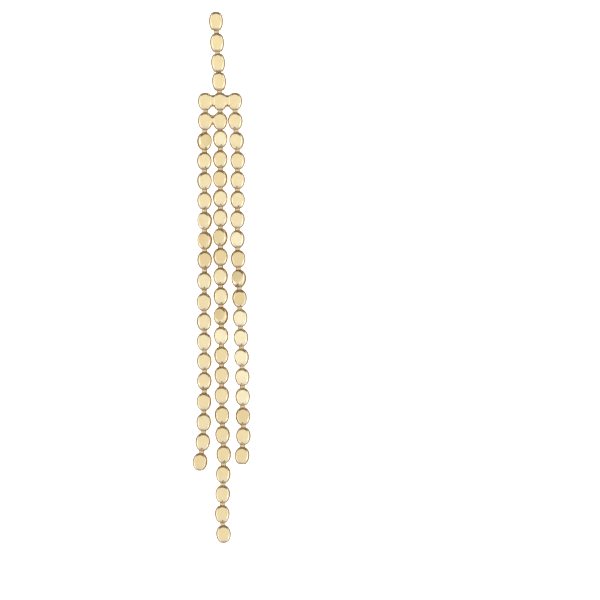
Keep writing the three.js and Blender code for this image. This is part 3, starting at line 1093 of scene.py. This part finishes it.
def bead_gold():
    """The beads' pale yellow gold, deeper or paler from bead to bead and warmer near the top."""
    finish = settings().finish

    def base_of(tree, tone, own):
        plain = colour_mix(tree, tone, opaque(finish.pale), opaque(finish.deep))
        amber = times(tree, attribute(tree, "warmth", "Fac"), AMBER_SHARE)
        warm = colour_mix(tree, amber, plain, opaque(finish.amber))
        cloud = times(tree, noise(tree, own, BEAD_CLOUDS), CLOUD_SHARE)
        return colour_mix(tree, cloud, warm, opaque(finish.deep))

    return gold_material("bead gold", base_of, BEAD_ROUGHNESS, BEAD_DIRT_AND_SHADE)


def pin_gold():
    """The pins' warmer gold from rubbing, grimy and with painted shade where they enter the beads."""
    finish = settings().finish

    def base_of(tree, tone, own):
        return colour_mix(tree, noise(tree, own, PIN_CLOUDS), opaque(finish.pin), opaque(finish.deep))

    return gold_material("pin gold", base_of, PIN_ROUGHNESS, PIN_DIRT_AND_SHADE)


def golds():
    """Both golds, made once."""
    bead = bpy.data.materials.get("bead gold") or bead_gold()
    return bead, bpy.data.materials.get("pin gold") or pin_gold()


# Stage

PHOTO_SIZE = 600  # pixels
TOP_BEAD_PIXEL = (216.0, 20.9)  # where the photograph has the top bead's middle
SENSOR = 36.0  # millimetres
CLIP_RANGE = (0.001, 10)  # metres
WHITE = (1.0, 1.0, 1.0)


def make_camera():
    """Straight in front, with the earring where the photograph has it in its frame."""
    stage = settings().stage
    data = bpy.data.cameras.new("camera")
    data.lens = stage.lens
    data.sensor_width = SENSOR
    camera = new_object("camera", data)
    right = (PHOTO_SIZE / 2 - TOP_BEAD_PIXEL[0]) * stage.pixel
    down = (PHOTO_SIZE / 2 - TOP_BEAD_PIXEL[1]) * stage.pixel
    distance = PHOTO_SIZE * stage.pixel * stage.lens / SENSOR
    bead_plane = -settings().beads.stem_depth / 2
    camera.location = (right, bead_plane - distance, -down)
    camera.rotation_euler = (math.pi / 2, 0, 0)
    data.clip_start, data.clip_end = CLIP_RANGE
    bpy.context.scene.camera = camera


# How bright the room is that the gold mirrors, from straight in front at 0 to straight behind at 1.
SHADES = (
    (0.0, 1.0),
    (0.06, 1.0),
    (0.14, 0.84),
    (0.26, 0.86),
    (0.42, 1.15),
    (0.6, 1.25),
    (0.76, 1.25),
)
BRIGHTEST = 2.0
BEHIND = (0.57, 0.73)  # where the brown that lies behind the earring starts, and where it is full
FAR_BEHIND = (0.9, 0.97)  # where it turns light again, for the backs of the beads
OVERHEAD = (0.44, 0.8)  # heights of the brown above
BROWN_BEHIND = (0.36, 0.29, 0.22)
BROWN_ABOVE = (0.19, 0.145, 0.1)


def make_surroundings():
    """A room that is white to the camera, and that the gold mirrors brown behind and above."""
    world = bpy.data.worlds.new("surroundings")
    bpy.context.scene.world = world
    world.use_nodes = True
    tree = world.node_tree
    direction = split_vector(tree, tree.nodes.new("ShaderNodeTexCoord").outputs["Generated"])
    towards = weighed(tree, direction["Y"], 0.5, 0.5)  # -1 to 1 becomes 0 to 1
    ramp = tree.nodes.new("ShaderNodeValToRGB")
    tree.links.new(towards, ramp.inputs[0])
    stops = ramp.color_ramp.elements
    while len(stops) < len(SHADES):
        stops.new(0.5)  # anywhere, until it gets its place below
    for stop, (position, shade) in zip(stops, SHADES):
        stop.position = position
        stop.color = opaque([shade / BRIGHTEST] * 3)
    ahead = tree.nodes.new("ShaderNodeVectorMath")
    ahead.operation = "SCALE"
    tree.links.new(ramp.outputs["Color"], ahead.inputs[0])
    ahead.inputs["Scale"].default_value = BRIGHTEST
    above = ramp_between(tree, direction["Z"], *OVERHEAD)
    behind = ramp_between(tree, towards, *BEHIND)
    far = ramp_between(tree, towards, *FAR_BEHIND)
    behind = times(tree, behind, math_node(tree, "SUBTRACT", 1.0, far))
    room = colour_mix(tree, above, ahead.outputs[0], opaque(BROWN_ABOVE))
    room = colour_mix(tree, behind, room, opaque(BROWN_BEHIND))
    to_camera = tree.nodes.new("ShaderNodeLightPath").outputs["Is Camera Ray"]
    background = tree.nodes["Background"]
    tree.links.new(colour_mix(tree, to_camera, room, opaque(WHITE)), background.inputs["Color"])
    background.inputs["Strength"].default_value = settings().stage.surroundings


# Places and sizes in metres, and power in watts.
SoftBox = namedtuple("SoftBox", "name place size power")
SOFT_BOXES = (
    SoftBox("left box", (-0.4, -0.2, -0.05), 0.3, 0.12),
    SoftBox("right box", (0.4, -0.15, -0.15), 0.3, 0.1),
)


def make_lights():
    """Two large soft boxes, low on the left and right."""
    middle = Vector((0, 0, CAD_BOX[0][2] / 2))
    for box in SOFT_BOXES:
        data = bpy.data.lights.new(box.name, "AREA")
        data.size = box.size
        data.energy = box.power
        light = new_object(box.name, data)
        light.location = box.place
        light.rotation_euler = (middle - Vector(box.place)).to_track_quat("-Z", "Y").to_euler()


# The sweep's sizes and places are in metres.
SWEEP_WIDTH, SWEEP_FRONT, SWEEP_BACK = 5.0, -2.0, 1.6
SWEEP_FLOOR, SWEEP_TOP, SWEEP_TURN = -0.8, 1.5, 0.4

SWEEP_STEPS = 10
SWEEP_GREY = (0.9, 0.9, 0.9)
SWEEP_ROUGHNESS = 0.9


def make_sweep():
    """A white floor that curves up into a wall, far enough off to leave every side in view."""
    line = [(SWEEP_FRONT, SWEEP_FLOOR)]
    for y, z in arc(SWEEP_TURN, SWEEP_TURN, -90, 0, SWEEP_STEPS):
        line.append((SWEEP_BACK - SWEEP_TURN + y, SWEEP_FLOOR + SWEEP_TURN + z))
    line.append((SWEEP_BACK, SWEEP_TOP))
    bm, _, edges = drawn_line([(-SWEEP_WIDTH / 2, y, z) for y, z in line])
    made = bmesh.ops.extrude_edge_only(bm, edges=edges)
    moved = [item for item in made["geom"] if isinstance(item, bmesh.types.BMVert)]
    bmesh.ops.translate(bm, vec=(SWEEP_WIDTH, 0, 0), verts=moved)
    bmesh.ops.recalc_face_normals(bm, faces=bm.faces[:])
    for face in bm.faces:
        face.smooth = True
    sweep = new_object("sweep", mesh_of(bm, "sweep"))
    sweep.visible_glossy = False
    sweep.visible_diffuse = False
    sweep.visible_shadow = False
    sweep.data.materials.append(sweep_white())


def sweep_white():
    material = bpy.data.materials.new("sweep white")
    material.use_nodes = True
    shader = material.node_tree.nodes["Principled BSDF"]
    shader.inputs["Base Color"].default_value = opaque(SWEEP_GREY)
    shader.inputs["Roughness"].default_value = SWEEP_ROUGHNESS
    shader.inputs["Emission Color"].default_value = opaque(WHITE)
    shader.inputs["Emission Strength"].default_value = 1.0
    return material


# Operators

STEM_SEED, BAR_SEED = 4, 9
TOP_LOOK, BAR_LOOK, PAIR_LOOK = Look(0.45, 1), Look(0.4, 0.7), Look(0.45, 0.6)
STEM_TONES = (0.3, 0.6)
NOTCH_SLANTS = (-7, 2, 9)  # degrees round the bead, to the left or right of its front
PLAIN_SHARE = 0.25  # of the strands' beads have no notch
DIMPLES = {(-1, 19): (-0.28, 0.22)}  # a dimple's place on a bead's front, by side and number


def add_pin(piece, high, low, high_egg, low_egg, matrix, dice, material=GOLD):
    """Adds the pin between two beads, with its patterns about the middle of its bare part."""
    length = (high - low).length
    bare_middle = (top_of(low_egg) + length - bottom_of(high_egg)) / 2
    look = Look(dice.random(), 0)
    shaft = pin(length, high_egg, low_egg)
    piece.add(shaft, matrix @ standing(high, low), look, material, centres=[(0, bare_middle)])


def bead_piece(node, mesh, matrix, look, **options):
    """A node of bead gold with nothing else in it."""
    piece = Piece(node)
    piece.add(mesh, matrix, look, **options)
    piece.finish([golds()[0]])


def pin_piece(node, high, low, high_egg, low_egg, matrix, dice):
    """A node that is one pin."""
    piece = Piece(node, "pin_gold")
    add_pin(piece, high, low, high_egg, low_egg, matrix, dice)
    piece.finish([golds()[1]])


class EARRING_OT_stem(bpy.types.Operator):
    """Builds the ear post with the top bead, the stem's other beads and its pins"""

    bl_idname = "earring.stem"
    bl_label = "Stem"
    bl_options = {"REGISTER", "UNDO"}

    def execute(self, context):
        dice = random.Random(STEM_SEED)
        egg, places, matrix = stem_egg(), stem_places(), chain_matrix()
        top = bead_mesh(egg, open_above=False, extra=[ear_post(egg)])
        bead_piece("ear_post_with_top_bead", top, stem_matrix(), TOP_LOOK)
        mesh = bead_mesh(egg)
        for i, (high, low) in enumerate(zip(places, places[1:]), 1):
            is_last = i == len(places) - 1
            pin_piece(f"stem_pin_{i}", high, low, egg, strand_egg() if is_last else egg, matrix, dice)
            if not is_last:
                look = Look(dice.uniform(*STEM_TONES), 1)
                bead_piece(f"stem_bead_{i + 1}", mesh, matrix @ Matrix.Translation(low), look)
        return {"FINISHED"}


class EARRING_OT_bar(bpy.types.Operator):
    """Builds the bar of soldered beads, the soldered pair below it and their pins"""

    bl_idname = "earring.bar"
    bl_label = "Bar"
    bl_options = {"REGISTER", "UNDO"}

    def execute(self, context):
        dice = random.Random(BAR_SEED)
        chain, egg, spacing = settings().chain, strand_egg(), bar_spacing()
        left, centre = strand_places(LEFT), strand_places(CENTRE)
        places = [-spacing, 0, spacing]
        centres = [(x, 0) for x in places]
        mesh = soldered_mesh(egg, places, [False, True, False], mm(chain.bar_solder), 0)
        bead_piece("bar_of_soldered_beads", mesh, bar_matrix(), BAR_LOOK, centres=centres)
        height, rise = mm(chain.pair_solder), mm(chain.pair_solder_rise)
        mesh = soldered_mesh(egg, places[:2], [True, True], height, rise)
        matrix = bar_matrix() @ Matrix.Translation(centre[1])
        bead_piece("soldered_bead_pair", mesh, matrix, PAIR_LOOK, centres=centres[:2])
        for node, (high, low, *_) in (("bar_pin_left", left), ("bar_pin_centre", centre)):
            pin_piece(node, high, low, egg, egg, bar_matrix(), dice)
        return {"FINISHED"}


class EARRING_OT_strands(bpy.types.Operator):
    """Builds the three hanging strands, each with its pins"""

    bl_idname = "earring.strands"
    bl_label = "Strands"
    bl_options = {"REGISTER", "UNDO"}

    def execute(self, context):
        egg = strand_egg()
        notched = [
            bead_mesh(egg, cuts=[lip_notch(-1, slant), lip_notch(1, slant / 2)]) for slant in NOTCH_SLANTS
        ]
        plain = bead_mesh(egg)
        torn = bead_mesh(egg, cuts=ragged_cuts(egg))
        closed = bead_mesh(egg, open_below=False)
        for strand in (LEFT, CENTRE, RIGHT):
            dice = random.Random(strand.node)
            places = strand_places(strand)
            piece = Piece(strand.node)
            for number in range(strand.soldered_count + 1, strand.bead_count + 1):
                high, low = places[number - 2], places[number - 1]
                add_pin(piece, high, low, egg, egg, bar_matrix(), dice, PIN_GOLD)
                is_last = number == strand.bead_count
                is_notched = not is_last and dice.random() > PLAIN_SHARE
                mesh = dice.choice(notched) if is_notched else plain
                if is_last:
                    mesh = torn if strand is RIGHT else closed
                matrix = bar_matrix() @ bead_matrix(strand, places, number)
                look = look_of(strand.side, number, is_notched, dice)
                piece.add(mesh, matrix, look, dimple=DIMPLES.get((strand.side, number)))
            piece.finish(golds())
        return {"FINISHED"}


class EARRING_OT_stage(bpy.types.Operator):
    """Sets the camera, the light and a plain white sweep"""

    bl_idname = "earring.stage"
    bl_label = "Stage"
    bl_options = {"REGISTER", "UNDO"}

    def execute(self, context):
        make_camera()
        make_surroundings()
        make_lights()
        make_sweep()
        context.scene.view_settings.view_transform = "Standard"
        return {"FINISHED"}


# Panel and registration


class EARRING_PT_panel(bpy.types.Panel):
    """Lists the steps that build the earring"""

    bl_label = "Bead chain earring"
    bl_idname = "EARRING_PT_panel"
    bl_space_type = "VIEW_3D"
    bl_region_type = "UI"
    bl_category = "Earring"

    def draw(self, context):
        for operator in OPERATORS:
            self.layout.operator(operator.bl_idname)
        for name in GROUPS:
            box = self.layout.box()
            group = getattr(context.scene, name)
            for prop in group.bl_rna.properties:
                if prop.identifier not in ("rna_type", "name"):
                    box.prop(group, prop.identifier)


OPERATORS = (EARRING_OT_stem, EARRING_OT_bar, EARRING_OT_strands, EARRING_OT_stage)
GROUPS = {
    "earring_beads": BeadSettings,
    "earring_chain": ChainSettings,
    "earring_finish": FinishSettings,
    "earring_stage": StageSettings,
}


def register():
    for name, group in GROUPS.items():
        bpy.utils.register_class(group)
        setattr(bpy.types.Scene, name, bpy.props.PointerProperty(type=group))
    for item in (*OPERATORS, EARRING_PT_panel):
        bpy.utils.register_class(item)


def unregister():
    for item in (EARRING_PT_panel, *OPERATORS):
        bpy.utils.unregister_class(item)
    for name, group in GROUPS.items():
        delattr(bpy.types.Scene, name)
        bpy.utils.unregister_class(group)


def main():
    register()
    bpy.ops.earring.stem()
    bpy.ops.earring.bar()
    bpy.ops.earring.strands()
    bpy.ops.earring.stage()
    bpy.context.view_layer.update()


if __name__ == "__main__":
    main()
